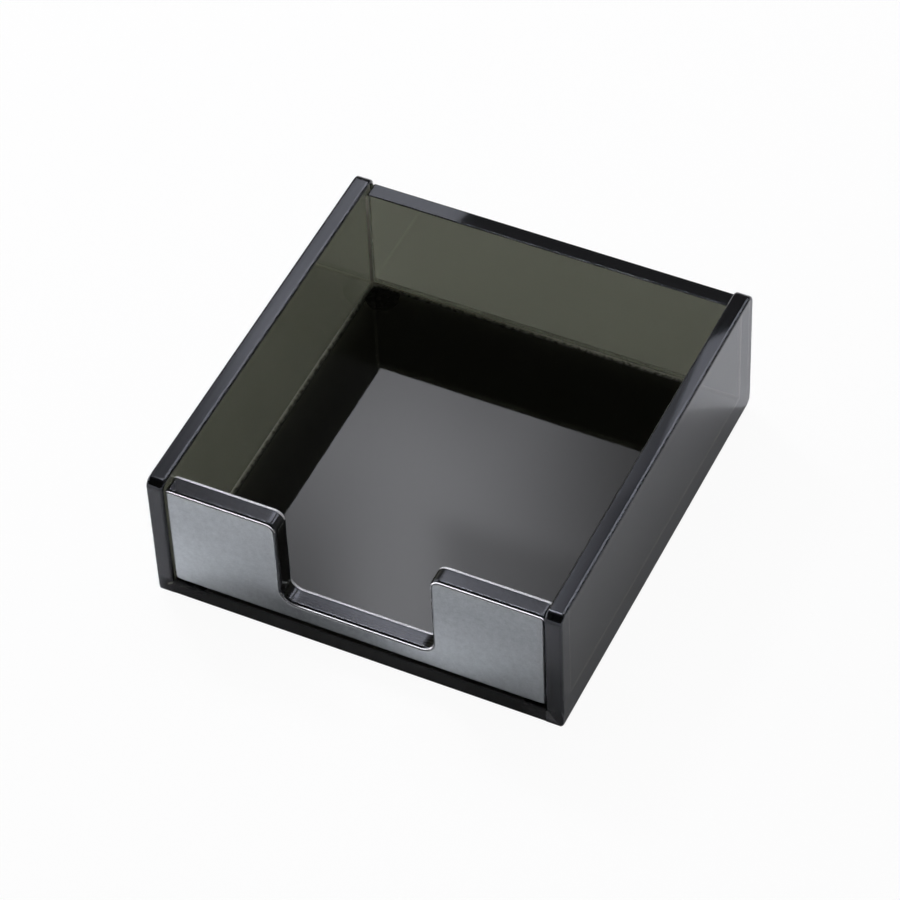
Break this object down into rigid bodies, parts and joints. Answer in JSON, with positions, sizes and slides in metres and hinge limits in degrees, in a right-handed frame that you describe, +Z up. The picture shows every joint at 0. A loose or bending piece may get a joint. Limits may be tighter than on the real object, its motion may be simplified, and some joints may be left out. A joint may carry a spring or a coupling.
{
  "type": "memo paper tray",
  "caption": "Open tray for loose memo sheets, glued from see-through smoke-tinted plastic, with a rounded finger notch in the front wall and small round feet.",
  "frame": {"origin": "on the table, under the middle of the tray, level with the soles of the feet", "axes": "+X to the right, +Y from the notched front wall to the back wall, +Z up"},
  "size_m": [0.095, 0.1006, 0.0355],
  "materials": {
    "smoke_acrylic": "clear smoke-tinted sheet, polished faces, rounded polished edges",
    "foot_rubber": "matte",
    "cement": "dried solvent cement, slightly uneven, with small bubbles"
  },
  "bodies": {
    "root": {"left_wall": "smoke_acrylic", "right_wall": "smoke_acrylic", "back_wall": "smoke_acrylic", "front_wall": "smoke_acrylic", "base_panel": "smoke_acrylic", "foot_front_left": "foot_rubber", "foot_front_right": "foot_rubber", "foot_back_left": "foot_rubber", "foot_back_right": "foot_rubber", "cement_floor_bead": "cement", "cement_bead_front_left": "cement", "cement_bead_front_right": "cement", "cement_bead_back_left": "cement", "cement_bead_back_right": "cement"}
  },
  "joints": []
}
